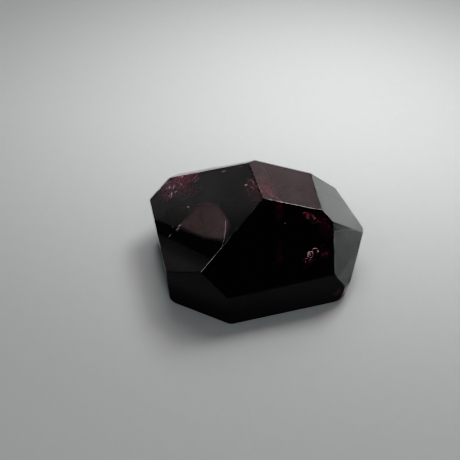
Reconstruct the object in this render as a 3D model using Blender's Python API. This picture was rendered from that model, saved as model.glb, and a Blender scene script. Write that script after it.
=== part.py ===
"""Garnet crystal: one solid stone bounded by flat polished facets, standing on a flat base.

Frame: +Z up, the length along X, the low front walls towards -Y. The origin is the middle of the
stone's bounding box, on the surface that the stone rests on. Units are metres, and lengths below are
given in millimetres.
"""

import math

import bmesh
import bpy
from mathutils import Vector

MM = 0.001

# ---------------------------------------------------------------- driving dimensions
NODE_NAME = "garnet_crystal"
MIDDLE_HEIGHT = 15.0  # mm, height over the base of the point that the facets are measured from
ROUGH_BLOCK = 120.0  # mm, edge of the rough block that the facets are cut from
EDGE_ROUNDING = 0.3  # mm, width of the rounding that polishing leaves along every edge
EDGE_SEGMENTS = 2  # faces across that rounding
SHARP_ANGLE = 25.0  # degrees, edges that turn less than this stay as they are cut
WELD = 0.001  # mm, corners nearer than this are one corner

# Facets in the order they are cut: name, bearing, tilt, distance.
# The bearing is the way the facet faces in plan, in degrees from -Y towards +X. The tilt is how far it
# looks up from the horizon, in degrees. The distance is from the stone's middle to the facet, in mm.
MAIN_FACETS = (
    ("base", 0, -90, MIDDLE_HEIGHT),
    ("front_wall", 14, 4, 20.6),
    ("front_left_wall", -24, 2, 24.6),
    ("left_wall", -75, 0, 28.5),
    ("back_left_wall", -137, -20, 29.3),
    ("back_wall", 178, -13, 17.4),
    ("back_right_wall", 122, -15, 31.0),
    ("right_wall", 75, -8, 31.1),
    ("front_slope", 13, 36, 15.2),
    ("left_slope", -70, 56, 15.0),
    ("crown", 93, 74, 16.9),
    ("right_slope", 95, 46, 20.7),
    ("right_shoulder", 55, 26, 23.0),
    ("back_right_shoulder", 117, 20, 27.0),
    ("back_slope", 171, 26, 15.8),
    ("back_left_slope", -155, 53, 19.2),
    ("back_left_shoulder", -130, 19, 30.5),
)

# Narrow flats worn along edges, and small flakes off the foot's corners, as above.
EDGE_FLATS = (
    ("front_corner_flat", -5, 3, 23.8),
    ("left_ridge_flat", -108, 42, 25.5),
)
CORNER_CHIPS = (
    ("right_foot_chip", 47, -2, 29.6),
    ("right_foot_chip_under", 40, -40, 30.9),
    ("left_foot_chip", -50, -30, 32.7),
)

# Polished almandine: a red so deep that the stone is nearly black.
STONE_COLOR = (0.020, 0.005, 0.007, 1.0)
STONE_ROUGHNESS = 0.07
STONE_METALLIC = 0.0


def clear_scene():
    """Empties the scene of whatever it holds."""
    for obj in list(bpy.data.objects):
        bpy.data.objects.remove(obj, do_unlink=True)


def facing(bearing, tilt):
    """Unit vector out of a facet with this bearing and tilt, in degrees."""
    turn = math.radians(bearing)
    rise = math.radians(tilt)
    return Vector((math.sin(turn) * math.cos(rise), -math.cos(turn) * math.cos(rise), math.sin(rise)))


def cut_facet(bm, name, bearing, tilt, distance):
    """Cuts away all that lies past one facet, and closes the cut with a flat face."""
    normal = facing(bearing, tilt)
    middle = Vector((0.0, 0.0, MIDDLE_HEIGHT * MM))
    cut = bmesh.ops.bisect_plane(
        bm,
        geom=bm.verts[:] + bm.edges[:] + bm.faces[:],
        dist=WELD * MM,
        plane_co=middle + normal * distance * MM,
        plane_no=normal,
        clear_outer=True,
    )
    rim = [item for item in cut["geom_cut"] if isinstance(item, bmesh.types.BMEdge)]
    if len(rim) < 3:
        raise ValueError(name + " does not meet the stone")
    bmesh.ops.contextual_create(bm, geom=rim)


def round_edges(bm):
    """Rounds the edges between facets a little, as polishing does."""
    sharp = [edge for edge in bm.edges if edge.calc_face_angle() > math.radians(SHARP_ANGLE)]
    bmesh.ops.bevel(
        bm,
        geom=sharp,
        offset=EDGE_ROUNDING * MM,
        offset_type="OFFSET",
        segments=EDGE_SEGMENTS,
        profile=0.5,
        affect="EDGES",
        clamp_overlap=True,
    )


def seat(bm):
    """Moves the stone so that its bounding box is centred over the origin, with its base at height 0."""
    xs = [vert.co.x for vert in bm.verts]
    ys = [vert.co.y for vert in bm.verts]
    zs = [vert.co.z for vert in bm.verts]
    shift = Vector((-(min(xs) + max(xs)) / 2, -(min(ys) + max(ys)) / 2, -min(zs)))
    bmesh.ops.translate(bm, verts=bm.verts[:], vec=shift)


def stone_material():
    """The stone's material, glossy and deep red."""
    material = bpy.data.materials.new("garnet")
    material.use_nodes = True
    shader = material.node_tree.nodes["Principled BSDF"]
    shader.inputs["Base Color"].default_value = STONE_COLOR
    shader.inputs["Roughness"].default_value = STONE_ROUGHNESS
    shader.inputs["Metallic"].default_value = STONE_METALLIC
    material.diffuse_color = STONE_COLOR
    return material


def build_stone():
    """Cuts the stone out of its rough block and adds it to the scene."""
    bm = bmesh.new()
    bmesh.ops.create_cube(bm, size=ROUGH_BLOCK * MM)
    bmesh.ops.translate(bm, verts=bm.verts[:], vec=Vector((0.0, 0.0, MIDDLE_HEIGHT * MM)))
    for name, bearing, tilt, distance in MAIN_FACETS + EDGE_FLATS + CORNER_CHIPS:
        cut_facet(bm, name, bearing, tilt, distance)
    round_edges(bm)
    seat(bm)
    bmesh.ops.recalc_face_normals(bm, faces=bm.faces[:])
    mesh = bpy.data.meshes.new(NODE_NAME)
    bm.to_mesh(mesh)
    bm.free()
    mesh.materials.append(stone_material())
    stone = bpy.data.objects.new(NODE_NAME, mesh)
    bpy.context.scene.collection.objects.link(stone)
    return stone


def main():
    clear_scene()
    build_stone()


main()
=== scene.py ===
"""Garnet crystal: a freeform almandine with hand-cut polished facets, on a plain studio floor.

Laid out as an add-on. Each operator makes one piece, or one group of like pieces, around the solid that
the frame brings; the last one makes the stage. Lengths in the settings are in metres.
"""

import math

import bmesh
import bpy
from bpy.props import FloatProperty, FloatVectorProperty, IntProperty, PointerProperty
from bpy.types import Operator, Panel, PropertyGroup
from bpy.utils import register_class, unregister_class
from mathutils import Matrix, Vector


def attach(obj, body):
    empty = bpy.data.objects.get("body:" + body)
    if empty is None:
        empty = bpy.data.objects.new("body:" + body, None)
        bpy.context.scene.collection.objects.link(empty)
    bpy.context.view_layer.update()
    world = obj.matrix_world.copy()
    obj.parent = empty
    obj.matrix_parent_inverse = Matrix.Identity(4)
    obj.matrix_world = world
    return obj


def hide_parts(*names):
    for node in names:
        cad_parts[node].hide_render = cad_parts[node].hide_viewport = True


bl_info = {
    "name": "Garnet Crystal",
    "version": (1, 0, 0),
    "blender": (4, 5, 0),
    "location": "3D View > Sidebar > Garnet",
    "description": "Builds a polished freeform garnet with its inner veils, and a small studio for it",
    "category": "Add Mesh",
}

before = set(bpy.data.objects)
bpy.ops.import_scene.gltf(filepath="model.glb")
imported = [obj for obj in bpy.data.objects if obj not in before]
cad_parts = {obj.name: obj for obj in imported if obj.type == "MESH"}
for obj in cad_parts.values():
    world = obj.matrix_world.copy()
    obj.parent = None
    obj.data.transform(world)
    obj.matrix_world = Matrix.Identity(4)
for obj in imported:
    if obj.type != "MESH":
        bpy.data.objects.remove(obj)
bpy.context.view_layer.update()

# ---------------------------------------------------------------- names and units
MM = 0.001
STONE_NODE = "garnet_crystal"
BODY = "root"

# ---------------------------------------------------------------- the stone's facets
# The facets that pieces lie under, and which way each faces: bearing in plan from -Y towards +X, and tilt up
# from the horizon, in degrees.
FACETS = {
    "left_slope": (-70, 56),
    "crown": (93, 74),
    "front_slope": (13, 36),
    "right_slope": (95, 46),
    "front_wall": (14, 4),
    "back_slope": (171, 26),
}
WELD = 0.002 * MM  # the loose triangles of the solid share corners within this
FLAT_ANGLE = math.radians(0.3)  # faces that turn less than this are one facet
FACET_MATCH = math.cos(math.radians(1.0))  # a face within this of a facet's way out can be that facet
FACET_WIDTH = 0.12 * MM  # a face with less area than this times its outline is part of a rounded edge
BASE_DOWN = 0.999  # a facet that faces down more squarely than this is the ground base
TUCK_ROUNDS = 4  # how often points are tucked inside, as a step in from one facet can cross another


def facing(bearing, tilt):
    """Unit vector out of a facet with this bearing and tilt, in degrees."""
    turn = math.radians(bearing)
    rise = math.radians(tilt)
    return Vector((math.sin(turn) * math.cos(rise), -math.cos(turn) * math.cos(rise), math.sin(rise)))


class Facet:
    """One flat facet: its middle, its way out, and its own level and up-slope axes."""

    def __init__(self, face):
        self.out = face.normal.copy()
        self.middle = face.calc_center_median_weighted()
        self.across = Vector((0, 0, 1)).cross(self.out).normalized()
        self.up = self.out.cross(self.across)

    def point(self, across, up, depth=0.0):
        """The point this far across and up from the middle, and this deep under the facet, in mm."""
        return self.middle + (self.across * across + self.up * up - self.out * depth) * MM

    def place(self, across, up, depth, turn=0.0, lean=(0.0, 0.0)):
        """A matrix that lays a flat shape under the facet, turned and leaning by these degrees."""
        axes = Matrix((self.across, self.up, self.out)).transposed().to_4x4()
        spin = Matrix.Rotation(math.radians(turn), 4, "Z")
        tip_up = Matrix.Rotation(math.radians(lean[0]), 4, "X")
        tip_aside = Matrix.Rotation(math.radians(lean[1]), 4, "Y")
        return Matrix.Translation(self.point(across, up, depth)) @ axes @ spin @ tip_up @ tip_aside


def welded_stone():
    """The frame's solid as a bmesh with whole facets, its loose triangles merged."""
    bm = bmesh.new()
    bm.from_mesh(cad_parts[STONE_NODE].data)
    bmesh.ops.remove_doubles(bm, verts=bm.verts[:], dist=WELD)
    bmesh.ops.dissolve_limit(
        bm,
        angle_limit=FLAT_ANGLE,
        use_dissolve_boundaries=False,
        verts=bm.verts[:],
        edges=bm.edges[:],
    )
    bmesh.ops.recalc_face_normals(bm, faces=bm.faces[:])
    bm.normal_update()
    return bm


def is_facet(face):
    """Whether a face of the stone is a facet, and not a strip of a rounded edge."""
    return face.calc_area() > FACET_WIDTH * face.calc_perimeter()


def find_facets():
    """The named facets, and the plane of every flat facet as (way out, distance from the origin)."""
    bm = welded_stone()
    named = {}
    for name, (bearing, tilt) in FACETS.items():
        way = facing(bearing, tilt)
        near = [face for face in bm.faces if face.normal.dot(way) > FACET_MATCH]
        if not near:
            raise ValueError("no facet like " + name)
        named[name] = Facet(max(near, key=lambda face: face.calc_area()))
    planes = [
        (face.normal.copy(), face.normal.dot(face.calc_center_median()))
        for face in bm.faces
        if is_facet(face)
    ]
    bm.free()
    return named, planes


FACET, PLANES = find_facets()


def tuck_inside(mesh, margin):
    """Moves any point that is nearer than margin to a facet, or past it, to that depth inside."""
    for vert in mesh.vertices:
        for _ in range(TUCK_ROUNDS):
            for out, reach in PLANES:
                past = vert.co.dot(out) - reach + margin
                if past > 0:
                    vert.co -= out * past


# ---------------------------------------------------------------- node helpers
def node(tree, kind, inputs=None, **settings):
    """Adds a node, sets its options, and joins or fills its inputs, which go by name or number."""
    made = tree.nodes.new(kind)
    for key, value in settings.items():
        setattr(made, key, value)
    for key, value in (inputs or {}).items():
        if isinstance(value, bpy.types.NodeSocket):
            tree.links.new(value, made.inputs[key])
        else:
            made.inputs[key].default_value = value
    return made


def math_node(tree, operation, first, second=0.0, clamp=False):
    """One Math node's result."""
    made = node(tree, "ShaderNodeMath", {0: first, 1: second}, operation=operation, use_clamp=clamp)
    return made.outputs[0]


def vector_math(tree, operation, first, second, output="Vector"):
    """One Vector Math node's result; a Scale takes a number second, and a Value is a number."""
    slot = "Scale" if operation == "SCALE" else 1
    made = node(tree, "ShaderNodeVectorMath", {0: first, slot: second}, operation=operation)
    return made.outputs[output]


def add_socket(tree, name, kind, default=None, output=False):
    """Adds one socket to a tree's interface."""
    socket = tree.interface.new_socket(name, in_out="OUTPUT" if output else "INPUT", socket_type=kind)
    if default is not None:
        socket.default_value = default
    return socket


def shader_group(name, inputs, outputs):
    """Starts a shader node group: its tree, and its input and output nodes."""
    tree = bpy.data.node_groups.new(name, "ShaderNodeTree")
    for label, kind, default in inputs:
        add_socket(tree, label, kind, default)
    for label, kind in outputs:
        add_socket(tree, label, kind, output=True)
    return tree, node(tree, "NodeGroupInput"), node(tree, "NodeGroupOutput")


def use_group(tree, name, inputs):
    """Places a finished shader group in a material."""
    return node(tree, "ShaderNodeGroup", inputs, node_tree=bpy.data.node_groups[name])


def new_material(name):
    """An empty node material: the material, its tree, and its output node."""
    material = bpy.data.materials.new(name)
    material.use_nodes = True
    material.node_tree.nodes.clear()
    return material, material.node_tree, node(material.node_tree, "ShaderNodeOutputMaterial")


def object_coords(tree):
    """Object coordinates, in metres."""
    return node(tree, "ShaderNodeTexCoord").outputs["Object"]


def noise(tree, place, scale, detail=3.0, rough=0.5, distortion=0.0):
    """A Noise Texture's value."""
    inputs = {
        "Vector": place,
        "Scale": scale,
        "Detail": detail,
        "Roughness": rough,
        "Distortion": distortion,
    }
    return node(tree, "ShaderNodeTexNoise", inputs).outputs[0]


def remap(tree, value, low, high, start=0.0, end=1.0):
    """Spreads low to high smoothly over start to end, and stops there."""
    inputs = {"Value": value, "From Min": low, "From Max": high, "To Min": start, "To Max": end}
    return node(tree, "ShaderNodeMapRange", inputs, interpolation_type="SMOOTHSTEP").outputs["Result"]


def mix_color(tree, amount, first, second):
    """A mix of two colours."""
    return node(tree, "ShaderNodeMix", {0: amount, 6: first, 7: second}, data_type="RGBA").outputs[2]


def rgb(color):
    """A colour setting as four numbers."""
    return (*color[:3], 1.0)


# ---------------------------------------------------------------- shared effects
FINE_GRAINS_ACROSS = 6.0  # fine grains across a coarse one
FINE_GRAIN_RELIEF = 0.3  # height of the fine grain, with the coarse grain's as 1

# The two ways that polishing lines run: the turn, in radians, and how closely they lie along each axis.
SCRATCH_WAYS = (((0.3, 0.2, 0.5), (2600, 45, 2600)), ((0.9, -0.4, -0.7), (60, 3100, 3100)))


def build_mineral_grain():
    """Mineral Grain: a mottled value and a height, the same all through the stone and its inclusions."""
    tree, inside, outside = shader_group(
        "Mineral Grain",
        (("Scale", "NodeSocketFloat", 400.0), ("Contrast", "NodeSocketFloat", 1.0)),
        (("Mottle", "NodeSocketFloat"), ("Height", "NodeSocketFloat")),
    )
    place = object_coords(tree)
    coarse = noise(tree, place, inside.outputs["Scale"], detail=5.0, rough=0.6, distortion=0.4)
    fine_scale = math_node(tree, "MULTIPLY", inside.outputs["Scale"], FINE_GRAINS_ACROSS)
    fine = noise(tree, place, fine_scale, detail=2.0)
    uneven = math_node(tree, "SUBTRACT", coarse, 0.5)
    spread = math_node(tree, "MULTIPLY", uneven, inside.outputs["Contrast"])
    relief = math_node(tree, "MULTIPLY", fine, FINE_GRAIN_RELIEF)
    tree.links.new(math_node(tree, "ADD", spread, 0.5, clamp=True), outside.inputs["Mottle"])
    tree.links.new(math_node(tree, "ADD", coarse, relief), outside.inputs["Height"])


def build_fine_scratches():
    """Fine Scratches: thin straight lines left by polishing, in two directions that cross."""
    tree, inside, outside = shader_group(
        "Fine Scratches", (("Amount", "NodeSocketFloat", 0.5),), (("Lines", "NodeSocketFloat"),)
    )
    place = object_coords(tree)
    lines = []
    for turn, closeness in SCRATCH_WAYS:
        turned = node(
            tree, "ShaderNodeVectorRotate", {"Vector": place, "Rotation": turn}, rotation_type="EULER_XYZ"
        )
        pulled = vector_math(tree, "MULTIPLY", turned.outputs[0], closeness)
        streaks = remap(tree, noise(tree, pulled, 1.0, detail=1.0), low=0.66, high=0.78)
        patches = remap(tree, noise(tree, place, 130.0), low=0.45, high=0.7)
        lines.append(math_node(tree, "MULTIPLY", streaks, patches))
    both = math_node(tree, "MAXIMUM", lines[0], lines[1])
    tree.links.new(math_node(tree, "MULTIPLY", both, inside.outputs["Amount"]), outside.inputs["Lines"])


# ---------------------------------------------------------------- materials
SCRATCH_DULLING = 0.10  # roughness that a polishing line adds
SCRATCH_CUT = -0.35  # how deep a polishing line is, with BUMP_UNIT as 1
BUMP_UNIT = 0.001 * MM  # the facets' bumps are counted in this
BASE_DARK = (0.006, 0.002, 0.003, 1.0)  # darkest colour of the ground base
VEIL_DULLING = 0.15  # roughness that the dark parts of a veil add

# Painted light and shade: the floor's colour is paler towards the back, the side that most of the light comes
# from, and darker towards the front, as the lamps' falloff would make it.
FLOOR_LIGHT_WAY = (0.22, 1.0, 0.0)  # the way that the painted light gets paler, on the floor
FLOOR_LIGHT_SPAN = (-0.06, 0.074)  # where it is darkest and where it is palest along that way, in metres
FLOOR_PAINTED_SHADE = 0.79  # its colour is multiplied by these
FLOOR_PAINTED_LIGHT = 1.11
FLOOR_GRAIN = 0.15  # share of that change that is grain
FLOOR_FADE = (0.5, 0.95)  # where it starts and ends to fade, as shares of its radius


def garnet_material(finish):
    """Clear deep red stone, with polished facets and softly worn edges."""
    material, tree, output = new_material("polished_garnet")
    place = object_coords(tree)
    rounded = node(tree, "ShaderNodeAttribute", attribute_name="rounded").outputs["Fac"]
    grain = use_group(tree, "Mineral Grain", {"Scale": 160.0, "Contrast": 1.4})
    scratches = use_group(tree, "Fine Scratches", {"Amount": 0.3})

    haze = remap(tree, noise(tree, place, 90.0, detail=6.0, rough=0.62), low=0.42, high=0.75)
    polished = math_node(tree, "ADD", finish.polish, math_node(tree, "MULTIPLY", haze, finish.haze))
    scratched = math_node(tree, "MULTIPLY", scratches.outputs[0], SCRATCH_DULLING)
    worn = math_node(tree, "ADD", polished, scratched)
    rough = math_node(tree, "ADD", worn, math_node(tree, "MULTIPLY", rounded, finish.edge_wear))

    wave = math_node(tree, "MULTIPLY", noise(tree, place, 45.0, detail=1.0), finish.wave / BUMP_UNIT)
    cut = math_node(tree, "MULTIPLY", scratches.outputs[0], SCRATCH_CUT)
    height = math_node(tree, "ADD", wave, cut)
    bump = node(tree, "ShaderNodeBump", {"Height": height, "Distance": BUMP_UNIT, "Strength": 1.0})

    clear = mix_color(tree, grain.outputs["Mottle"], rgb(finish.clear), rgb(finish.clouded))
    shader = node(
        tree,
        "ShaderNodeBsdfPrincipled",
        {
            "Base Color": clear,
            "Roughness": rough,
            "Normal": bump.outputs[0],
            "Metallic": 0.0,
            "IOR": finish.ior,
            "Transmission Weight": 1.0,
        },
    )
    # Lamps and the light scattered by the veils pass straight through the skin, so that the inside is lit.
    through = node(tree, "ShaderNodeBsdfTransparent", {"Color": (*(finish.skin_pass,) * 3, 1.0)})
    path = node(tree, "ShaderNodeLightPath")
    skin = shader
    for ray in ("Is Diffuse Ray", "Is Shadow Ray"):
        mixed = {0: path.outputs[ray], 1: skin.outputs[0], 2: through.outputs[0]}
        skin = node(tree, "ShaderNodeMixShader", mixed)
    depth = node(
        tree, "ShaderNodeVolumeAbsorption", {"Color": rgb(finish.body_color), "Density": finish.body_density}
    )
    tree.links.new(skin.outputs[0], output.inputs["Surface"])
    tree.links.new(depth.outputs[0], output.inputs["Volume"])
    return material


def ground_material(finish):
    """The base that the stone stands on: ground flat and left dull, so dark that nothing shows through."""
    material, tree, output = new_material("ground_base")
    grain = use_group(tree, "Mineral Grain", {"Scale": 500.0, "Contrast": 1.6})
    color = mix_color(tree, grain.outputs["Mottle"], BASE_DARK, rgb(finish.ground))
    bump = node(
        tree,
        "ShaderNodeBump",
        {"Height": grain.outputs["Height"], "Distance": 0.05 * MM, "Strength": 0.5},
    )
    shader = node(
        tree,
        "ShaderNodeBsdfPrincipled",
        {"Base Color": color, "Roughness": 0.55, "Normal": bump.outputs[0], "Metallic": 0.0},
    )
    tree.links.new(shader.outputs[0], output.inputs["Surface"])
    return material


def veil_material(name, light, dark, roughness=0.4, bare=0.0, gloss=0.0, grain_scale=900.0, relief=0.08):
    """Pale skin of a healed crack inside the stone; the more of it is bare, the more of it is dark."""
    material, tree, output = new_material(name)
    grain = use_group(tree, "Mineral Grain", {"Scale": grain_scale, "Contrast": 2.2})
    lit = remap(tree, grain.outputs["Mottle"], low=bare, high=1.0)
    color = mix_color(tree, lit, dark, light)
    rough = remap(tree, grain.outputs["Mottle"], 0.0, 1.0, start=roughness + VEIL_DULLING, end=roughness)
    bump = node(
        tree,
        "ShaderNodeBump",
        {"Height": grain.outputs["Height"], "Distance": relief * MM, "Strength": 0.6},
    )
    shader = node(
        tree,
        "ShaderNodeBsdfPrincipled",
        {
            "Base Color": color,
            "Roughness": rough,
            "Normal": bump.outputs[0],
            "Metallic": 0.0,
            "Specular IOR Level": gloss,
        },
    )
    tree.links.new(shader.outputs[0], output.inputs["Surface"])
    return material


def floor_material(studio):
    """Plain pale matt floor with the faintest grain and painted light, paler towards the back and darker
    towards the front, fading into the background far out.
    """
    material, tree, output = new_material("plain_floor")
    grain = use_group(tree, "Mineral Grain", {"Scale": 260.0, "Contrast": 1.2})
    place = object_coords(tree)
    # Painted light and shade: paler towards the lamps at the back, darker towards the front.
    along = vector_math(tree, "DOT_PRODUCT", place, FLOOR_LIGHT_WAY, output="Value")
    even = math_node(tree, "MULTIPLY", remap(tree, along, *FLOOR_LIGHT_SPAN), 1.0 - FLOOR_GRAIN)
    grainy = math_node(tree, "MULTIPLY", grain.outputs["Mottle"], FLOOR_GRAIN)
    pale = math_node(tree, "ADD", even, grainy)
    light = rgb([channel * FLOOR_PAINTED_LIGHT for channel in studio.floor_color])
    dark = rgb([channel * FLOOR_PAINTED_SHADE for channel in studio.floor_color])
    color = mix_color(tree, pale, dark, light)
    bump = node(
        tree,
        "ShaderNodeBump",
        {"Height": grain.outputs["Height"], "Distance": 0.02 * MM, "Strength": 0.4},
    )
    shader = node(
        tree,
        "ShaderNodeBsdfPrincipled",
        {"Base Color": color, "Roughness": 0.9, "Normal": bump.outputs[0], "Specular IOR Level": 0.0},
    )
    distance = vector_math(tree, "LENGTH", place, (0.0, 0.0, 0.0), output="Value")
    fade = remap(tree, distance, *(studio.floor_radius * share for share in FLOOR_FADE))
    clear = node(tree, "ShaderNodeBsdfTransparent")
    edge = node(tree, "ShaderNodeMixShader", {0: fade, 1: shader.outputs[0], 2: clear.outputs[0]})
    tree.links.new(edge.outputs[0], output.inputs["Surface"])
    return material


# ---------------------------------------------------------------- geometry trees
def geometry_tree(name, inputs):
    """Starts a geometry node tree with named inputs: the tree, and its input and output nodes."""
    tree = bpy.data.node_groups.new(name, "GeometryNodeTree")
    add_socket(tree, "Geometry", "NodeSocketGeometry")
    for label, kind, default in inputs:
        add_socket(tree, label, kind, default)
    add_socket(tree, "Geometry", "NodeSocketGeometry", output=True)
    return tree, node(tree, "NodeGroupInput"), node(tree, "NodeGroupOutput")


def close_tree(tree, geometry, material, outside):
    """Ends a tree in Realize Instances and Set Material."""
    real = node(tree, "GeometryNodeRealizeInstances", {"Geometry": geometry})
    painted = node(tree, "GeometryNodeSetMaterial", {"Geometry": real.outputs[0], "Material": material})
    tree.links.new(painted.outputs[0], outside.inputs["Geometry"])


def centred(tree, value, size):
    """A 0 to 1 value as plus or minus half of size."""
    return math_node(tree, "MULTIPLY", math_node(tree, "SUBTRACT", value, 0.5), size)


def field_noise(tree, place, size, seed, detail=3.0, output=0):
    """A Noise Texture over a geometry field, its grain about this large; output 1 is its colour."""
    scale = math_node(tree, "DIVIDE", 1.0, size)
    made = node(
        tree,
        "ShaderNodeTexNoise",
        {"Vector": place, "W": seed, "Scale": scale, "Detail": detail},
        noise_dimensions="4D",
    )
    return made.outputs[output]


def remap_field(tree, value, low, high):
    """Spreads low to high over 0 to 1 in a geometry field."""
    ends = {"Value": value, "From Min": low, "From Max": high}
    return node(tree, "ShaderNodeMapRange", ends).outputs["Result"]


# A veil's envelope is highest in its middle and falls outwards.
ENVELOPE_MIDDLE = 0.85  # its height there
RIM = 0.1  # a sheet ends where its envelope falls to this
RIM_WANDER = 2.4  # how much the envelope varies from place to place
RIM_WANDER_SIZE = 3.0  # how far apart that is, with the lace's size as 1
SMALL_WAVES = 4.0  # small waves across a fold
SMALL_WAVE_HEIGHT = (0.12, 0.12, 0.4)  # their height along each axis, with the fold's as 1
CREST_STEEPNESS = 9.0  # how fast a crease falls off to its sides
MIDDLE = (0.5, 0.5, 0.5)  # the middle of a noise's colours


def veil_fields(tree, given):
    """Fields that the veil trees share: the place, the envelope that ends at the rim, and the folds."""
    place = node(tree, "GeometryNodeInputPosition").outputs[0]
    axes = node(tree, "ShaderNodeSeparateXYZ", {0: place})
    squares = []
    for axis, size in (("X", "Width"), ("Y", "Height")):
        double = math_node(tree, "MULTIPLY", axes.outputs[axis], 2.0)
        share = math_node(tree, "DIVIDE", double, given[size])
        squares.append(math_node(tree, "MULTIPLY", share, share))
    square = math_node(tree, "ADD", *squares)
    wobble_size = math_node(tree, "MULTIPLY", given["Lace Size"], RIM_WANDER_SIZE)
    wobble = centred(tree, field_noise(tree, place, wobble_size, given["Seed"]), RIM_WANDER)
    envelope = math_node(tree, "SUBTRACT", math_node(tree, "ADD", wobble, ENVELOPE_MIDDLE), square)
    big = field_noise(tree, place, given["Fold Size"], given["Seed"], detail=1.0, output=1)
    small_size = math_node(tree, "DIVIDE", given["Fold Size"], SMALL_WAVES)
    small = field_noise(tree, place, small_size, given["Seed"], detail=2.0, output=1)
    big = vector_math(tree, "SUBTRACT", big, MIDDLE)
    small = vector_math(tree, "SUBTRACT", small, MIDDLE)
    waves = vector_math(tree, "MULTIPLY", small, SMALL_WAVE_HEIGHT)
    fold = vector_math(tree, "SCALE", vector_math(tree, "ADD", big, waves), given["Fold Height"])
    sunk = math_node(tree, "SUBTRACT", remap_field(tree, envelope, RIM, 0.9), 1.0)
    sink = node(tree, "ShaderNodeCombineXYZ", {2: math_node(tree, "MULTIPLY", sunk, given["Sink"])})
    return place, envelope, vector_math(tree, "ADD", fold, sink.outputs[0])


def veil_grid(tree, given):
    """A flat grid of the veil's width and height."""
    cells_x = math_node(tree, "DIVIDE", given["Width"], given["Cell"])
    cells_y = math_node(tree, "DIVIDE", given["Height"], given["Cell"])
    return node(
        tree,
        "GeometryNodeMeshGrid",
        {"Size X": given["Width"], "Size Y": given["Height"], "Vertices X": cells_x, "Vertices Y": cells_y},
    ).outputs[0]


VEIL_INPUTS = (
    ("Width", "NodeSocketFloat", 10 * MM),
    ("Height", "NodeSocketFloat", 6 * MM),
    ("Cell", "NodeSocketFloat", 0.1 * MM),
    ("Fold Height", "NodeSocketFloat", 0.8 * MM),
    ("Fold Size", "NodeSocketFloat", 2.0 * MM),
    ("Lace Size", "NodeSocketFloat", 0.8 * MM),
    ("Sink", "NodeSocketFloat", 1.2 * MM),
    ("Seed", "NodeSocketFloat", 1.0),
)


def build_crumpled_sheet():
    """Crumpled Sheet: a thin folded skin with holes, raised along its creases.

    A low Keep leaves only the creases.
    """
    tree, inside, outside = geometry_tree(
        "Crumpled Sheet",
        VEIL_INPUTS
        + (
            ("Keep", "NodeSocketFloat", 0.5),
            ("Crease", "NodeSocketFloat", 0.4 * MM),
            ("Material", "NodeSocketMaterial", None),
        ),
    )
    given = inside.outputs
    place, envelope, fold = veil_fields(tree, given)
    lines = field_noise(tree, place, given["Lace Size"], given["Seed"], detail=1.5)
    off_crease = math_node(tree, "ABSOLUTE", math_node(tree, "SUBTRACT", lines, 0.5))
    other_seed = math_node(tree, "ADD", given["Seed"], 3.0)
    breaks = field_noise(tree, place, given["Lace Size"], other_seed, detail=2.0)
    width = math_node(tree, "MULTIPLY", given["Keep"], remap_field(tree, breaks, 0.30, 0.60))
    bare = compare(tree, "GREATER_THAN", off_crease, width)
    beyond = compare(tree, "LESS_THAN", envelope, RIM)
    gone = node(tree, "FunctionNodeBooleanMath", {0: bare, 1: beyond}, operation="OR")
    kept = node(
        tree,
        "GeometryNodeDeleteGeometry",
        {"Geometry": veil_grid(tree, given), "Selection": gone.outputs[0]},
        domain="POINT",
    )
    off_crest = math_node(tree, "MULTIPLY", off_crease, CREST_STEEPNESS)
    crest = math_node(tree, "SUBTRACT", 1.0, off_crest, clamp=True)
    lift = node(tree, "ShaderNodeCombineXYZ", {2: math_node(tree, "MULTIPLY", crest, given["Crease"])})
    offset = vector_math(tree, "ADD", fold, lift.outputs[0])
    shaped = node(tree, "GeometryNodeSetPosition", {"Geometry": kept.outputs[0], "Offset": offset})
    close_tree(tree, shaped.outputs[0], given["Material"], outside)


def compare(tree, operation, first, second):
    """Whether one field's value is above another's, or below it."""
    made = node(
        tree, "FunctionNodeCompare", {0: first, 1: second}, data_type="FLOAT", operation=operation
    )
    return made.outputs[0]


def splinter(tree):
    """A flat five-sided splinter, one across."""
    return node(tree, "GeometryNodeMeshCylinder", {"Vertices": 5, "Radius": 0.5, "Depth": 0.14}).outputs[0]


def held_value(tree, name, kind):
    """A named attribute that the geometry holds."""
    return node(tree, "GeometryNodeInputNamedAttribute", {"Name": name}, data_type=kind).outputs[0]


def random_vector(tree, low, high, seed):
    """Three random numbers between low and high."""
    ends = {0: low, 1: high, "Seed": seed}
    return node(tree, "FunctionNodeRandomValue", ends, data_type="FLOAT_VECTOR").outputs[0]


# A pinpoint's length, width and thickness, as shares of its size, lie between these.
SPLINTER_LEAST = (0.5, 0.5, 0.8)
SPLINTER_MOST = (1.0, 1.4, 1.2)


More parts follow.
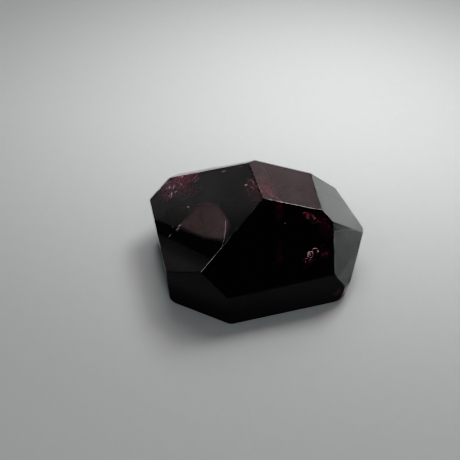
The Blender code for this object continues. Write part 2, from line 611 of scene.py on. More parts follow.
def build_pinpoint_cloud():
    """Pinpoint Cloud: tiny flat splinters strewn along a folded sheet, thinning out towards its rim."""
    tree, inside, outside = geometry_tree(
        "Pinpoint Cloud",
        VEIL_INPUTS
        + (
            ("Per Area", "NodeSocketFloat", 1.0e7),
            ("Smallest", "NodeSocketFloat", 0.06 * MM),
            ("Largest", "NodeSocketFloat", 0.22 * MM),
            ("Tumble", "NodeSocketFloat", 0.5),
            ("Material", "NodeSocketMaterial", None),
        ),
    )
    given = inside.outputs
    place, envelope, fold = veil_fields(tree, given)
    patchy = field_noise(tree, place, given["Lace Size"], given["Seed"])
    thinning = remap_field(tree, envelope, 0.0, 0.9)
    share = math_node(tree, "MULTIPLY", thinning, remap_field(tree, patchy, 0.35, 0.62))
    stored = node(
        tree,
        "GeometryNodeStoreNamedAttribute",
        {"Geometry": veil_grid(tree, given), "Name": "share", "Value": share},
        data_type="FLOAT",
        domain="POINT",
    )
    shaped = node(tree, "GeometryNodeSetPosition", {"Geometry": stored.outputs[0], "Offset": fold})
    share = held_value(tree, "share", "FLOAT")
    density = math_node(tree, "MULTIPLY", share, given["Per Area"])
    seed = node(tree, "FunctionNodeFloatToInt", {0: given["Seed"]}).outputs[0]
    spots = node(
        tree,
        "GeometryNodeDistributePointsOnFaces",
        {"Mesh": shaped.outputs[0], "Density": density, "Seed": seed},
    )
    size = node(
        tree,
        "FunctionNodeRandomValue",
        {2: given["Smallest"], 3: given["Largest"], "Seed": seed},
        data_type="FLOAT",
    ).outputs[1]
    stretch = random_vector(tree, SPLINTER_LEAST, SPLINTER_MOST, seed)
    tumble = math_node(tree, "MULTIPLY", given["Tumble"], math.pi)
    back = math_node(tree, "MULTIPLY", tumble, -1.0)
    low = node(tree, "ShaderNodeCombineXYZ", {0: back, 1: back, 2: -math.pi}).outputs[0]
    high = node(tree, "ShaderNodeCombineXYZ", {0: tumble, 1: tumble, 2: math.pi}).outputs[0]
    turn = random_vector(tree, low, high, seed)
    strewn = node(
        tree,
        "GeometryNodeInstanceOnPoints",
        {
            "Points": spots.outputs["Points"],
            "Instance": splinter(tree),
            "Rotation": spots.outputs["Rotation"],
            "Scale": vector_math(tree, "SCALE", stretch, size),
        },
    )
    tumbled = node(
        tree,
        "GeometryNodeRotateInstances",
        {"Instances": strewn.outputs[0], "Rotation": turn, "Local Space": True},
    )
    close_tree(tree, tumbled.outputs[0], given["Material"], outside)


def build_bright_flakes():
    """Bright Flakes: one splinter at each point, of the size and turn that the point holds."""
    tree, inside, outside = geometry_tree("Bright Flakes", (("Material", "NodeSocketMaterial", None),))
    spots = node(tree, "GeometryNodeMeshToPoints", {"Mesh": inside.outputs["Geometry"]})
    laid = node(
        tree,
        "GeometryNodeInstanceOnPoints",
        {
            "Points": spots.outputs[0],
            "Instance": splinter(tree),
            "Rotation": held_value(tree, "turn", "FLOAT_VECTOR"),
            "Scale": held_value(tree, "scale", "FLOAT_VECTOR"),
        },
    )
    close_tree(tree, laid.outputs[0], inside.outputs["Material"], outside)


def build_wavy_threads():
    """Wavy Threads: every line of the mesh as a thin thread that wanders a little."""
    tree, inside, outside = geometry_tree(
        "Wavy Threads",
        (
            ("Thickness", "NodeSocketFloat", 0.1 * MM),
            ("Wander", "NodeSocketFloat", 0.3 * MM),
            ("Wander Size", "NodeSocketFloat", 0.6 * MM),
            ("Spacing", "NodeSocketFloat", 0.12 * MM),
            ("Seed", "NodeSocketFloat", 1.0),
            ("Material", "NodeSocketMaterial", None),
        ),
    )
    given = inside.outputs
    line = node(tree, "GeometryNodeMeshToCurve", {"Mesh": given["Geometry"]})
    even = node(
        tree,
        "GeometryNodeResampleCurve",
        {"Curve": line.outputs[0], "Length": given["Spacing"]},
        mode="LENGTH",
    )
    place = node(tree, "GeometryNodeInputPosition").outputs[0]
    drift = field_noise(tree, place, given["Wander Size"], given["Seed"], output=1)
    drift = vector_math(tree, "SUBTRACT", drift, MIDDLE)
    moved = node(
        tree,
        "GeometryNodeSetPosition",
        {"Geometry": even.outputs[0], "Offset": vector_math(tree, "SCALE", drift, given["Wander"])},
    )
    other_seed = math_node(tree, "ADD", given["Seed"], 5.0)
    lumps = field_noise(tree, place, given["Wander Size"], other_seed, detail=2.0)
    thickness = math_node(tree, "MULTIPLY", given["Thickness"], remap_field(tree, lumps, 0.25, 0.65))
    ring = node(tree, "GeometryNodeCurvePrimitiveCircle", {"Resolution": 5, "Radius": 0.5})
    tube = node(
        tree,
        "GeometryNodeCurveToMesh",
        {
            "Curve": moved.outputs[0],
            "Profile Curve": ring.outputs[0],
            "Scale": thickness,
            "Fill Caps": True,
        },
    )
    close_tree(tree, tube.outputs[0], given["Material"], outside)


def plain_mesh(obj):
    """The object's evaluated mesh, its modifiers worked in."""
    graph = bpy.context.evaluated_depsgraph_get()
    return bpy.data.meshes.new_from_object(obj.evaluated_get(graph), depsgraph=graph)


def grown(name, tree_name, inputs, mesh=None):
    """Runs a geometry tree on a mesh, or on nothing, and returns what it makes as a plain mesh."""
    holder = bpy.data.objects.new(name, mesh or bpy.data.meshes.new(name))
    bpy.context.scene.collection.objects.link(holder)
    modifier = holder.modifiers.new("Shape", "NODES")
    modifier.node_group = bpy.data.node_groups[tree_name]
    for item in modifier.node_group.interface.items_tree:
        if item.in_out == "INPUT" and item.name in inputs:
            modifier[item.identifier] = inputs[item.name]
    made = plain_mesh(holder)
    holder.modifiers.clear()
    bpy.data.objects.remove(holder)
    if not made.polygons:
        raise ValueError(name + " came out empty")
    made.materials.clear()
    made.materials.append(inputs["Material"])
    made.polygons.foreach_set("material_index", [0] * len(made.polygons))
    return made


# ---------------------------------------------------------------- pieces
PINCH_ROUNDS = 8  # removing one pinched point can leave another
SHEET_THICKNESS = 0.04 * MM

# How deep under the facets each kind of thing stays.
VEIL_MARGIN = 0.2 * MM
SKIN_MARGIN = {"healed_crack": 0.25 * MM, "deep_crack": 0.8 * MM}
THREAD_MARGIN = 0.09 * MM


def finished(name, mesh, replaced=()):
    """Adds a finished piece to the scene, on its body and with its finish."""
    obj = bpy.data.objects.new(name, mesh)
    bpy.context.scene.collection.objects.link(obj)
    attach(obj, BODY)
    if replaced:
        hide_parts(*replaced)
    return obj


def joined(meshes):
    """Several meshes as one, each keeping its own material."""
    bm = bmesh.new()
    whole = bpy.data.meshes.new("joined")
    for number, mesh in enumerate(meshes):
        whole.materials.append(mesh.materials[0])
        first = len(bm.faces)
        bm.from_mesh(mesh)
        bm.faces.ensure_lookup_table()
        for face in bm.faces[first:]:
            face.material_index = number
    bm.to_mesh(whole)
    bm.free()
    return whole


def drop_pinches(mesh):
    """Removes points where a sheet hangs on by one corner, and loose ones, so that it can be thickened."""
    bm = bmesh.new()
    bm.from_mesh(mesh)
    for _ in range(PINCH_ROUNDS):
        pinched = [vert for vert in bm.verts if not vert.is_manifold or not vert.link_faces]
        if not pinched:
            break
        bmesh.ops.delete(bm, geom=pinched, context="VERTS")
    bm.to_mesh(mesh)
    bm.free()


def thickened(mesh, thickness):
    """A sheet as a closed solid of this thickness."""
    holder = bpy.data.objects.new("sheet", mesh)
    bpy.context.scene.collection.objects.link(holder)
    modifier = holder.modifiers.new("Thickness", "SOLIDIFY")
    modifier.thickness = thickness
    modifier.offset = 0.0
    made = plain_mesh(holder)
    bpy.data.objects.remove(holder)
    return made


def make_veil(name, spot, sizes, points, sheet, seed, dust, skin):
    """One healed crack laid at a spot under a facet: a cloud of pinpoints, a crumpled sheet, or both."""
    facet, *where = spot
    place = FACET[facet].place(*where)
    shape = {label: size * MM for label, size in zip(VEIL_SIZES, sizes)}
    shape["Seed"] = seed
    meshes = []
    if points:
        per_area, largest = points
        strewn = {"Per Area": per_area, "Largest": largest * MM, "Material": dust}
        cloud = grown(name, "Pinpoint Cloud", {**shape, **strewn})
        cloud.transform(place)
        meshes.append(cloud)
    if sheet:
        keep, crease = sheet
        folded = {"Keep": keep, "Crease": crease * MM, "Material": skin}
        film = grown(name, "Crumpled Sheet", {**shape, **folded})
        drop_pinches(film)
        film.transform(place)
        tuck_inside(film, SKIN_MARGIN[skin.name])
        meshes.append(thickened(film, SHEET_THICKNESS))
    for mesh in meshes:
        tuck_inside(mesh, VEIL_MARGIN)
    return finished(name, joined(meshes))


def line_mesh(name, lines):
    """A mesh of open lines through the given points."""
    points = []
    edges = []
    for line in lines:
        first = len(points)
        points += line
        edges += [(first + step, first + step + 1) for step in range(len(line) - 1)]
    mesh = bpy.data.meshes.new(name)
    mesh.from_pydata(points, edges, [])
    return mesh


def make_threads(name, strands, thickness, wander, seed, material):
    """Thin wandering threads under facets, each drawn through a few points."""
    lines = [
        [FACET[facet].point(across, up, depth) for across, up in points]
        for facet, depth, points in strands
    ]
    inputs = {"Thickness": thickness, "Wander": wander, "Seed": seed, "Material": material}
    made = grown(name, "Wavy Threads", inputs, line_mesh(name, lines))
    tuck_inside(made, THREAD_MARGIN)
    return finished(name, made)


def make_flakes(name, flakes, material):
    """Single bright splinters under facets: depth, two ends and width of each."""
    mesh = bpy.data.meshes.new(name)
    points = []
    scales = []
    turns = []
    for facet, depth, start, end, width in flakes:
        run = Vector(end) - Vector(start)
        middle = (Vector(start) + Vector(end)) / 2
        length = run.length
        place = FACET[facet].place(middle.x, middle.y, depth, math.degrees(math.atan2(run.y, run.x)))
        points.append(place.translation)
        scales.append((length * MM, width * MM, min(length, width) * MM))
        turns.append(place.to_euler())
    mesh.from_pydata(points, [], [])
    for label, values in (("scale", scales), ("turn", turns)):
        layer = mesh.attributes.new(label, "FLOAT_VECTOR", "POINT")
        for item, value in zip(layer.data, values):
            item.vector = value
    made = grown(name, "Bright Flakes", {"Material": material}, mesh)
    tuck_inside(made, THREAD_MARGIN)
    return finished(name, made)


def facet_normals(bm):
    """A normal for each corner of each face: flat on facets, and turning evenly over rounded edges."""
    normals = []
    for face in bm.faces:
        for loop in face.loops:
            flats = [other.normal for other in loop.vert.link_faces if is_facet(other)]
            if is_facet(face):
                normals.append(face.normal.copy())
            elif flats:
                normals.append(sum(flats, Vector()).normalized())
            else:
                normals.append(loop.vert.normal.copy())
    return normals


def make_stone(finish):
    """The stone itself, with its rounded edges shaded round, its facets flat and its base ground dull."""
    bm = welded_stone()
    mesh = bpy.data.meshes.new("polished_garnet")
    rounded = bm.faces.layers.float.new("rounded")
    for face in bm.faces:
        face.smooth = True
        face[rounded] = 0.0 if is_facet(face) else 1.0
        face.material_index = 1 if face.normal.z < -BASE_DOWN else 0
    normals = facet_normals(bm)
    bm.to_mesh(mesh)
    bm.free()
    mesh.normals_split_custom_set(normals)
    mesh.materials.append(garnet_material(finish))
    mesh.materials.append(ground_material(finish))
    return finished("polished_garnet", mesh, replaced=(STONE_NODE,))


# ---------------------------------------------------------------- settings
class GarnetFinish(PropertyGroup):
    """Colours and polish of the stone."""

    clear: FloatVectorProperty(
        name="Clear Tint", description="Tint of the clearest stone", subtype="COLOR", min=0, max=1,
        default=(1.0, 0.93, 0.94),
    )
    clouded: FloatVectorProperty(
        name="Clouded Tint", description="Tint of the more clouded stone", subtype="COLOR", min=0, max=1,
        default=(0.90, 0.72, 0.74),
    )
    body_color: FloatVectorProperty(
        name="Body Colour", description="What light keeps on its way through", subtype="COLOR", min=0, max=1,
        default=(0.545, 0.0, 0.27),
    )
    ground: FloatVectorProperty(
        name="Ground Base", description="Lightest colour of the dull base", subtype="COLOR", min=0, max=1,
        default=(0.030, 0.008, 0.012),
    )
    skin_pass: FloatProperty(
        name="Skin Pass", description="Share of the lamps' light that each pass through the skin keeps",
        default=0.9,
    )
    body_density: FloatProperty(
        name="Depth of Colour", description="How fast the stone darkens with depth, per metre",
        default=1100.0,
    )
    ior: FloatProperty(name="Refractive Index", description="Almandine's is about 1.79", default=1.79)
    polish: FloatProperty(name="Polish", description="Roughness of the facets", default=0.02)
    haze: FloatProperty(name="Haze", description="Roughness added where the polish is hazy", default=0.04)
    edge_wear: FloatProperty(name="Edge Wear", description="Roughness added on rounded edges", default=0.10)
    wave: FloatProperty(
        name="Facet Wave", description="How far hand polishing leaves a facet from flat",
        default=0.0000002, unit="LENGTH",
    )


class GarnetVeils(PropertyGroup):
    """Colours and seed of the cracks and flakes inside the stone."""

    skin: FloatVectorProperty(
        name="Crack Skin", description="Lightest part of a healed crack", subtype="COLOR", min=0, max=1,
        default=(0.50, 0.43, 0.43),
    )
    shade: FloatVectorProperty(
        name="Crack Shade", description="Darkest part of a healed crack", subtype="COLOR", min=0, max=1,
        default=(0.012, 0.009, 0.009),
    )
    deep: FloatVectorProperty(
        name="Deep Crack", description="Lightest part of a deeper crack", subtype="COLOR", min=0, max=1,
        default=(0.34, 0.30, 0.31),
    )
    deep_shade: FloatVectorProperty(
        name="Deep Crack Shade", description="Darkest part of a deeper crack", subtype="COLOR", min=0, max=1,
        default=(0.12, 0.10, 0.105),
    )
    pale: FloatVectorProperty(
        name="Pinpoints", description="Colour of the pinpoints", subtype="COLOR", min=0, max=1,
        default=(0.50, 0.56, 0.52),
    )
    spark: FloatVectorProperty(
        name="Spark", description="Colour of the flakes", subtype="COLOR", min=0, max=1,
        default=(0.80, 0.98, 0.88),
    )
    tan: FloatVectorProperty(
        name="Thread", description="Colour of the threads", subtype="COLOR", min=0, max=1,
        default=(0.50, 0.62, 0.46),
    )
    bare: FloatProperty(
        name="Bare Share", description="How much of a crack's skin is bare and dark", default=0.15,
    )
    seed: IntProperty(name="Seed", description="Start of every random draw", default=7)


class GarnetStudio(PropertyGroup):
    """Floor, background and the dim room."""

    floor_color: FloatVectorProperty(
        name="Floor", description="Colour of the plain floor", subtype="COLOR", min=0, max=1,
        default=(0.497, 0.510, 0.510),
    )
    floor_radius: FloatProperty(
        name="Floor Radius", description="Radius of the floor", default=0.9, unit="LENGTH",
    )
    backdrop: FloatProperty(name="Background", description="Grey that the camera sees behind", default=0.62)
    room: FloatProperty(
        name="Room", description="Grey of the dim room that lights the stone and mirrors in it", default=0.15,
    )


# ---------------------------------------------------------------- operators
class GARNET_OT_shared(Operator):
    """Builds the shader groups and geometry trees that the pieces share"""

    bl_idname = "garnet.shared"
    bl_label = "Shared Effects"

    def execute(self, context):
        build_mineral_grain()
        build_fine_scratches()
        build_crumpled_sheet()
        build_pinpoint_cloud()
        build_bright_flakes()
        build_wavy_threads()
        return {"FINISHED"}


class GARNET_OT_stone(Operator):
    """Makes the polished stone over the frame's solid"""

    bl_idname = "garnet.stone"
    bl_label = "Polished Stone"

    def execute(self, context):
        make_stone(context.scene.garnet_finish)
        return {"FINISHED"}


VEIL_SIZES = ("Width", "Height", "Fold Height", "Fold Size", "Lace Size", "Sink")

# Healed cracks, in mm and degrees. Each: its spot (facet, across, up, depth, turn, lean), its sizes in the
# order of VEIL_SIZES, its cloud (pinpoints to the square metre, size of the largest), its sheet (how much of
# it is kept, height of its creases), and what its sheet is made of.
VEILS = {
    "left_corner_veil": (
        ("left_slope", -15.4, -2.8, 0.6, 58, (2, 2)), (17, 9, 1.4, 2.2, 1.4, 1.2),
        (1.0e6, 0.12), (0.06, 0.4), "healed_crack",
    ),
    "left_corner_depth": (
        ("left_slope", -15.3, -2.5, 1.2, 55, (0, 0)), (20, 12, 1, 3, 1.8, 1.4),
        None, (5.0, 0.12), "deep_crack",
    ),
    "crown_veil": (
        ("crown", 0.2, 6.2, 0.8, 2, (4, 0)), (14, 4, 0.7, 4, 1.5, 1.2),
        (1.5e6, 0.12), None, "healed_crack",
    ),
    "crown_depth": (
        ("crown", -0.6, 5.4, 2.3, 4, (0, 0)), (17, 8, 0.6, 4, 2.4, 2.2),
        None, (5.0, 0.1), "deep_crack",
    ),
    "ridge_veil": (
        ("left_slope", 2.0, 16.6, 2.4, 0, (0, 0)), (7, 3, 0.4, 3, 2, 1.8),
        None, (5.0, 0.05), "deep_crack",
    ),
    "upper_right_veil": (
        ("front_slope", 11.2, 7.7, 0.4, -36, (0, 0)), (6, 2.4, 0.4, 1.6, 1.2, 0.5),
        (1.0e6, 0.22), (0.5, 0.15), "healed_crack",
    ),
    "right_edge_glow": (
        ("front_slope", 14.5, 4.9, 0.9, -64, (0, 0)), (9.5, 4.4, 0.6, 3, 2, 0.9),
        None, (5.0, 0.3), "deep_crack",
    ),
    "speckled_veil": (
        ("front_slope", 10.1, -3.3, 0.45, 50, (0, 0)), (7, 4.2, 0.5, 1.2, 0.9, 1),
        (2.4e6, 0.22), (0.3, 0.2), "healed_crack",
    ),
    "red_spot": (
        ("front_slope", 14.0, -3.4, 0.6, 0, (0, 0)), (5, 4.4, 0.6, 1.6, 1, 1),
        None, (0.8, 0.3), "healed_crack",
    ),
    "top_red_wisp": (
        ("front_slope", 2.6, 10.4, 1.35, 88, (0, 0)), (7, 3.4, 0.4, 2.4, 1.6, 1),
        None, (5.0, 0.1), "deep_crack",
    ),
    "low_red_wisp": (
        ("front_slope", 1.4, -0.8, 1.3, 80, (0, 0)), (9, 3.6, 0.9, 2.2, 1.4, 1.2),
        None, (2.0, 0.3), "deep_crack",
    ),
    "foot_corner_veil": (
        ("front_wall", 15.8, -2.0, 0.4, 0, (0, 0)), (4.4, 4, 0.5, 1.2, 0.8, 1.2),
        (2.0e6, 0.22), (0.6, 0.3), "healed_crack",
    ),
}

# Threads: how thick they are, and how far they wander.
TAN_THREAD = (0.33 * MM, 0.4 * MM)
FINE_THREAD = (0.10 * MM, 0.3 * MM)

# Their strands, each: facet, depth, then points (across, up) in mm.
TAN_THREADS = (
    (
        "front_slope", 0.17,
        ((9.9, -2.4), (9.2, -2.6), (9.1, -2.0), (9.7, -1.6), (10.3, -1.8), (10.7, -2.5), (10.3, -3.2)),
    ),
    ("front_slope", 0.24, ((9.2, -2.7), (9.5, -3.2), (10.1, -3.5), (10.6, -3.0))),
    (
        "front_slope", 0.2,
        ((10.8, -1.6), (10.7, -1.2), (11.0, -0.9), (11.5, -0.9), (12.0, -1.3), (12.1, -2.0), (11.7, -2.4)),
    ),
    ("front_slope", 0.3, ((9.5, -2.2), (9.9, -2.1), (10.1, -2.6), (9.8, -3.0))),
)
FINE_THREADS = (
    ("left_slope", 0.35, ((-12.0, 1.8), (-12.2, 3.3), (-12.4, 4.5))),
    ("left_slope", 0.3, ((-10.9, 2.2), (-11.0, 3.4), (-11.2, 4.6))),
    ("left_slope", 0.3, ((-18.3, -7.4), (-18.4, -6.3), (-18.2, -4.8))),
    ("left_slope", 0.4, ((-16.9, -7.5), (-17.3, -6.4), (-16.8, -4.5))),
    ("left_slope", 0.35, ((2.4, 16.0), (1.9, 16.8), (2.1, 17.5), (3.3, 17.8), (4.6, 17.6))),
    ("left_slope", 0.5, ((4.0, 16.4), (4.9, 16.9), (5.8, 17.0))),
    ("left_slope", 0.12, ((15.0, 2.0), (13.6, 3.2), (11.8, 4.4), (10.0, 5.3), (8.6, 5.9))),
    ("crown", 0.6, ((-3.8, 6.1), (-5.4, 4.6), (-5.8, 2.9))),
    ("front_slope", 0.18, ((10.9, 6.2), (11.7, 6.0), (12.5, 6.0))),
    ("front_slope", 0.25, ((12.9, 6.5), (13.5, 6.0), (14.0, 5.4))),
    ("front_slope", 0.3, ((12.9, -0.9), (13.6, -0.7), (14.5, -0.5))),
    ("back_slope", 0.3, ((-9.4, -4.2), (-8.2, -3.1), (-7.6, -1.6), (-6.2, -0.8))),
    ("back_slope", 0.2, ((12.2, 1.2), (13.4, 0.3), (14.1, -0.9))),
)

# Bright flakes: facet, depth, one end (across, up), the other end, and width, in mm.
FLAKES = (
    ("left_slope", 0.25, (-15.7, -5.7), (-16.3, -5.0), 0.34),
    ("left_slope", 0.25, (-14.4, -4.7), (-15.3, -3.4), 0.26),
    ("left_slope", 0.25, (-12.4, -6.0), (-13.8, -5.2), 0.26),
    ("left_slope", 0.3, (-12.6, -4.6), (-12.9, -3.5), 0.26),
    ("left_slope", 0.35, (-13.1, -6.9), (-13.0, -6.3), 0.24),
    ("left_slope", 0.35, (-12.2, -6.5), (-12.0, -5.8), 0.24),
    ("left_slope", 0.25, (-15.9, -0.4), (-16.3, 0.1), 0.4),
    ("left_slope", 0.2, (-4.5, -2.5), (-4.1, -2.2), 0.45),
    ("left_slope", 0.12, (0.1, -8.7), (-0.2, -8.1), 0.28),
    ("left_slope", 0.12, (0.35, -8.0), (-0.05, -7.6), 0.3),
    ("left_slope", 0.12, (-0.5, -7.5), (-0.8, -7.0), 0.28),
    ("left_slope", 0.12, (-0.2, -6.9), (-0.6, -6.6), 0.22),
    ("left_slope", 0.12, (0.9, -8.5), (0.6, -8.1), 0.2),
    ("left_slope", 0.12, (-1.6, -9.5), (-1.8, -9.0), 0.2),
    ("left_slope", 0.12, (0.5, -11.7), (0.1, -10.3), 0.2),
    ("left_slope", 0.3, (-7.3, 11.3), (-6.6, 12.5), 0.14),
    ("left_slope", 0.2, (2.5, 15.2), (2.9, 16.1), 0.3),
    ("front_slope", 0.2, (3.65, 7.2), (4.05, 7.4), 0.35),
    ("front_slope", 0.35, (11.6, 6.9), (12.6, 7.4), 0.6),
    ("front_slope", 0.14, (9.1, -2.1), (9.8, -1.6), 0.5),
    ("front_slope", 0.2, (9.1, -2.6), (9.3, -3.2), 0.4),
    ("front_slope", 0.2, (10.3, -1.7), (10.8, -2.1), 0.4),
    ("front_slope", 0.2, (10.9, -1.1), (11.8, -1.0), 0.3),
    ("front_slope", 0.25, (12.2, -1.6), (12.4, -2.4), 0.3),
    ("front_slope", 0.4, (8.3, -3.5), (9.3, -3.4), 0.3),
    ("front_slope", 0.45, (8.2, -4.1), (8.5, -4.8), 0.3),
    ("front_slope", 0.4, (9.2, -4.2), (10.4, -3.7), 0.35),
    ("right_slope", 0.12, (1.0, -4.9), (0.3, -5.9), 0.2),
    ("right_slope", 0.12, (0.0, -6.3), (-0.9, -7.0), 0.18),
    ("right_slope", 0.12, (2.3, -4.4), (2.0, -5.6), 0.2),
    ("right_slope", 0.12, (2.1, -7.3), (1.6, -8.9), 0.2),
    ("back_slope", 0.25, (3.0, -1.6), (3.9, -0.9), 0.3),
    ("back_slope", 0.3, (7.4, 1.9), (8.6, 2.1), 0.26),
    ("back_slope", 0.2, (-12.1, 2.2), (-11.7, 2.6), 0.35),
)


class GARNET_OT_veils(Operator):
    """Makes the healed cracks inside the stone, as crumpled sheets and clouds of pinpoints"""

    bl_idname = "garnet.veils"
    bl_label = "Inner Veils"

    def execute(self, context):
        look = context.scene.garnet_veils
        dust = veil_material("pinpoints", rgb(look.pale), rgb(look.shade))
        healed = veil_material("healed_crack", rgb(look.skin), rgb(look.shade), bare=look.bare)
        deep = veil_material(
            "deep_crack", rgb(look.deep), rgb(look.deep_shade), grain_scale=420.0, relief=0.03
        )
        skins = {"healed_crack": healed, "deep_crack": deep}
        for number, (name, (spot, sizes, points, sheet, skin)) in enumerate(VEILS.items()):
            make_veil(name, spot, sizes, points, sheet, float(look.seed + number), dust, skins[skin])
        return {"FINISHED"}


class GARNET_OT_threads(Operator):
    """Makes the fine threads that run near the surface"""

    bl_idname = "garnet.threads"
    bl_label = "Inner Threads"

    def execute(self, context):
        look = context.scene.garnet_veils
        tan = veil_material("tan_thread", rgb(look.tan), rgb(look.skin), 0.3)
        pale = veil_material("pale_thread", rgb(look.spark), rgb(look.skin), 0.3)
        make_threads("tan_threads", TAN_THREADS, *TAN_THREAD, float(look.seed), tan)
        make_threads("fine_threads", FINE_THREADS, *FINE_THREAD, float(look.seed), pale)
        return {"FINISHED"}


class GARNET_OT_flakes(Operator):
    """Makes the single bright flakes near the surface"""

    bl_idname = "garnet.flakes"
    bl_label = "Bright Flakes"

    def execute(self, context):
        look = context.scene.garnet_veils
        bright = veil_material("bright_flake", rgb(look.spark), rgb(look.pale), 0.12, gloss=0.5)
        make_flakes("bright_flakes", FLAKES, bright)
        return {"FINISHED"}


class GARNET_OT_stage(Operator):
    """Makes the floor, the soft lights, the background and the camera"""

    bl_idname = "garnet.stage"
    bl_label = "Stage"

    def execute(self, context):
        studio = context.scene.garnet_studio
        make_floor(studio)
        make_background(studio)
        make_lights()
        make_camera(context.scene)
        set_view(context.scene)
        return {"FINISHED"}


# ---------------------------------------------------------------- stage
STONE_MIDDLE = Vector((0.0, 0.0, 15 * MM))
CAMERA_PLACE = Vector((-7.64, -101.22, 128.32)) * MM
CAMERA_TILT = math.radians(42)  # up from straight down
CAMERA_SENSOR = 36.0  # mm, width of the picture that the lens is counted on
CAMERA_LENS = 40.7  # mm
CAMERA_NEAR = 0.005  # metres

# Soft lamps: bearing (to the right of straight back), height angle, distance, width, height, radiance, tint.
LAMPS = {
    "key": (33, 53, 0.22, 0.078, 0.078, 19.2, (1.0, 0.99, 0.975)),
    "overhead": (5, 56, 0.22, 0.136, 0.136, 3.0, (0.98, 1.0, 1.0)),
    "left_fill": (-118, 46.5, 0.8, 0.16, 0.15, 4.0, (0.90, 1.0, 1.0)),
    "front_fill": (165, 50, 0.8, 0.16, 0.15, 8.0, (0.98, 1.0, 1.0)),
}

# Dim cards that the facets mirror, each a flat shape: its board, its corners on the board (right, up) in mm,
# the rounding of its corners in mm, a point and the radiance there, a second point and the radiance there,
# and its tint. A board faces the stone: bearing, height angle and distance.
LEFT_BOARD = (-62, 26, 0.8)
NEAR_LEFT_BOARD = (-62, 26, 0.78)
RIGHT_BOARD = (31, 30, 0.8)
CARDS = {
    "left_card": (
        LEFT_BOARD, ((230, -180), (230, 190), (-75, 190), (-57, 50), (-50, 9), (-25, -62), (16, -180)), 2,
        (-35, 0), 0.37, (25, 0), 0.50, (1.01, 0.99, 1.0),
    ),
    "far_left_card": (
        LEFT_BOARD, ((4, -180), (-240, -180), (-240, 190), (-158, 190)), 2,
        (-66, -18), 0.28, (-96, -31), 0.41, (1.01, 0.98, 0.99),
    ),
    "warm_card": (
        NEAR_LEFT_BOARD, ((17, 8), (8, 32), (-22, 56), (-50, 44), (-46, 10), (-27, -37), (-6, -14)), 9,
        (-20, -30), 0.53, (-20, 45), 0.60, (1.08, 0.96, 0.96),
    ),
    "crown_card": (
        RIGHT_BOARD, ((-190, -110), (190, -110), (190, 150), (-190, 150)), 10,
        (-70, 0), 0.69, (70, 0), 0.65, (1.07, 0.94, 0.955),
    ),
    "rim_glint": (
        (72, 54, 0.8), ((-250, -150), (300, -130), (300, 130), (-250, 130)), 10,
        (0, -150), 4.0, (0, 150), 4.0, (1.0, 0.94, 0.95),
    ),
    "edge_glint": (
        (-118, 47, 0.8), ((-240, -75), (240, -75), (240, 80), (-240, 80)), 10,
        (0, 0), 3.4, (0, 80), 1.6, (0.94, 1.0, 1.0),
    ),
}

# Painted shade: dim glowing cards that lie just over the floor in front of the low walls, which the walls
# mirror instead of the floor, as a darker stand-in for the floor's shade there. Each is told in the same way
# as a card but for its board.
SHADE_CARDS = {
    "front_shade_card": (
        ((-8, -19), (-10, -46), (50, -44), (37, -24), (29, -12)), 1,
        (0, -18.1), 0.15, (4.5, -30.3), 0.25, (1.0, 1.0, 1.0),
    ),
    "left_shade_card": (
        ((-8, -19), (-28, -12), (-52, -10), (-60, -32), (-10, -46)), 1,
        (-17, -17.6), 0.12, (-20.5, -25.4), 0.23, (1.0, 1.0, 1.0),
    ),
}
CARD_MOTTLE = 0.4  # how much a card's glow varies
CORNER_STEPS = 6  # edges around a card's rounded corner
SHADE_CARD_LIFT = 0.4 * MM  # how far a painted-shade card lies over the floor
FLOOR_EDGES = 96  # edges around the floor

# Light in against light out, from deep black to middle grey.
TONE_CURVE = (
    (0.013, 0.0006), (0.025, 0.003), (0.04, 0.010), (0.063, 0.042), (0.145, 0.185), (0.35, 0.36),
)


def way_to(bearing, rise):
    """Unit vector towards a bearing to the right of straight back, and a height angle, in degrees."""
    turn = math.radians(bearing)
    up = math.radians(rise)
    return Vector((math.sin(turn) * math.cos(up), math.cos(turn) * math.cos(up), math.sin(up)))


def floor_board():
    """The place of what lies on the floor: its X runs to the left, and its Y to the back."""
    return Matrix.Translation((0, 0, SHADE_CARD_LIFT)) @ Matrix.Rotation(math.pi, 4, "Y")


def board(bearing, rise, distance):
    """The place of a board that faces the stone: its X runs left, seen from the stone, and its Y up."""
    way = way_to(bearing, rise)
    left = Vector((0, 0, 1)).cross(way).normalized()
    axes = Matrix((left, way.cross(left), way)).transposed().to_4x4()
    return Matrix.Translation(STONE_MIDDLE + way * distance) @ axes


def make_lamp(name, bearing, rise, distance, width, height, radiance, tint):
    """A soft lamp that faces the stone, which neither the camera nor the polish shows."""
    light = bpy.data.lights.new(name, "AREA")
    light.shape = "RECTANGLE"
    light.size = width
    light.size_y = height
    light.energy = radiance * math.pi * width * height
    light.color = tint
    obj = bpy.data.objects.new(name, light)
    bpy.context.scene.collection.objects.link(obj)
    obj.matrix_world = board(bearing, rise, distance)
    obj.visible_camera = False
    obj.visible_glossy = False


def card_material(name, first, low, second, high, tint):
    """A dim glow that changes evenly from one point of the card to another, a little mottled."""
    material, tree, output = new_material(name)
    start = Vector((-first[0], first[1], 0)) * MM
    span = Vector((-second[0], second[1], 0)) * MM - start
    place = object_coords(tree)
    along = vector_math(tree, "DOT_PRODUCT", place, span / span.length_squared, output="Value")
    offset = start.dot(span) / span.length_squared
    ramp = remap(tree, along, offset, offset + 1.0, start=low, end=high)
    cloud = math_node(tree, "SUBTRACT", noise(tree, place, 28.0, rough=0.6), 0.5)
    mottle = math_node(tree, "ADD", math_node(tree, "MULTIPLY", cloud, CARD_MOTTLE), 1.0)
    strength = math_node(tree, "MULTIPLY", ramp, mottle)
    glow = node(tree, "ShaderNodeEmission", {"Color": (*tint, 1.0), "Strength": strength})
    tree.links.new(glow.outputs[0], output.inputs["Surface"])
    return material


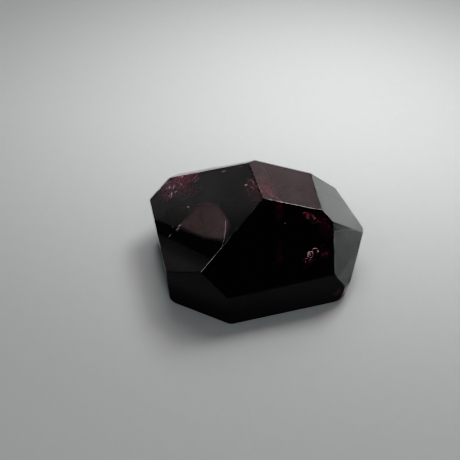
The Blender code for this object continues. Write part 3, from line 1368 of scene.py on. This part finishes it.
def make_card(name, place, corners, rounding, *glow):
    """A dim card that is seen only where the facets mirror it."""
    bm = bmesh.new()
    points = [bm.verts.new((-right * MM, up * MM, 0.0)) for right, up in corners]
    bm.faces.new(points)
    bmesh.ops.bevel(
        bm,
        geom=points,
        offset=rounding * MM,
        segments=CORNER_STEPS,
        affect="VERTICES",
        profile=0.5,
    )
    mesh = bpy.data.meshes.new(name)
    bm.to_mesh(mesh)
    bm.free()
    mesh.materials.append(card_material(name, *glow))
    card = bpy.data.objects.new(name, mesh)
    bpy.context.scene.collection.objects.link(card)
    card.matrix_world = place
    card.visible_camera = False
    card.visible_diffuse = False
    card.visible_shadow = False
    card.visible_transmission = False


def make_lights():
    """The soft lamps, the dim cards that the facets mirror, and the painted-shade cards on the floor that the
    low walls mirror.
    """
    for name, settings in LAMPS.items():
        make_lamp(name, *settings)
    for name, (place, *look) in CARDS.items():
        make_card(name, board(*place), *look)
    # Painted shade: dim cards on the floor, mirrored by the low walls as the floor's shade.
    for name, look in SHADE_CARDS.items():
        make_card(name, floor_board(), *look)


def make_floor(studio):
    """A plain round floor."""
    bm = bmesh.new()
    bmesh.ops.create_circle(bm, cap_ends=True, segments=FLOOR_EDGES, radius=studio.floor_radius)
    bmesh.ops.recalc_face_normals(bm, faces=bm.faces[:])
    mesh = bpy.data.meshes.new("floor")
    bm.to_mesh(mesh)
    bm.free()
    mesh.materials.append(floor_material(studio))
    floor = bpy.data.objects.new("floor", mesh)
    bpy.context.scene.collection.objects.link(floor)


def make_background(studio):
    """A pale grey that only the camera sees; the stone mirrors a dim room beyond the lights."""
    world = bpy.data.worlds.new("studio")
    world.use_nodes = True
    tree = world.node_tree
    tree.nodes.clear()
    seen = node(tree, "ShaderNodeBackground", {"Color": (*(studio.backdrop,) * 3, 1.0)})
    dark = node(tree, "ShaderNodeBackground", {"Color": (*(studio.room,) * 3, 1.0)})
    path = node(tree, "ShaderNodeLightPath")
    mixed = {0: path.outputs["Is Camera Ray"], 1: dark.outputs[0], 2: seen.outputs[0]}
    both = node(tree, "ShaderNodeMixShader", mixed)
    output = node(tree, "ShaderNodeOutputWorld")
    tree.links.new(both.outputs[0], output.inputs["Surface"])
    bpy.context.scene.world = world


def make_camera(scene):
    """The camera, looking down at the stone from the front."""
    data = bpy.data.cameras.new("camera")
    data.sensor_fit = "HORIZONTAL"
    data.sensor_width = CAMERA_SENSOR
    data.lens = CAMERA_LENS
    data.clip_start = CAMERA_NEAR
    camera = bpy.data.objects.new("camera", data)
    scene.collection.objects.link(camera)
    camera.location = CAMERA_PLACE
    camera.rotation_euler = (CAMERA_TILT, 0.0, 0.0)
    scene.camera = camera


def set_view(scene):
    """A plain view with deep blacks, drawn as a curve of light in against light out."""
    view = scene.view_settings
    view.view_transform = "Standard"
    view.use_curve_mapping = True
    curve = view.curve_mapping.curves[3]
    for light_in, light_out in TONE_CURVE:
        curve.points.new(light_in, light_out)
    view.curve_mapping.update()


# ---------------------------------------------------------------- panel and registration
STEPS = (
    GARNET_OT_shared,
    GARNET_OT_stone,
    GARNET_OT_veils,
    GARNET_OT_threads,
    GARNET_OT_flakes,
    GARNET_OT_stage,
)
SETTINGS = {"garnet_finish": GarnetFinish, "garnet_veils": GarnetVeils, "garnet_studio": GarnetStudio}


class VIEW3D_PT_garnet(Panel):
    """Lists the steps that build the garnet"""

    bl_idname = "VIEW3D_PT_garnet"
    bl_label = "Garnet Crystal"
    bl_space_type = "VIEW_3D"
    bl_region_type = "UI"
    bl_category = "Garnet"

    def draw(self, context):
        for step in STEPS:
            self.layout.operator(step.bl_idname)
        for name, group in SETTINGS.items():
            box = self.layout.box()
            for key in group.__annotations__:
                box.prop(getattr(context.scene, name), key)


def register():
    """Registers the settings, the steps and the panel."""
    for name, group in SETTINGS.items():
        register_class(group)
        setattr(bpy.types.Scene, name, PointerProperty(type=group))
    for step in STEPS:
        register_class(step)
    register_class(VIEW3D_PT_garnet)


def unregister():
    """Takes all of it away again."""
    unregister_class(VIEW3D_PT_garnet)
    for step in reversed(STEPS):
        unregister_class(step)
    for name, group in SETTINGS.items():
        delattr(bpy.types.Scene, name)
        unregister_class(group)


def main():
    """Builds the pieces in order."""
    register()
    bpy.ops.garnet.shared()
    bpy.ops.garnet.stone()
    bpy.ops.garnet.veils()
    bpy.ops.garnet.threads()
    bpy.ops.garnet.flakes()
    bpy.ops.garnet.stage()


if __name__ == "__main__":
    main()
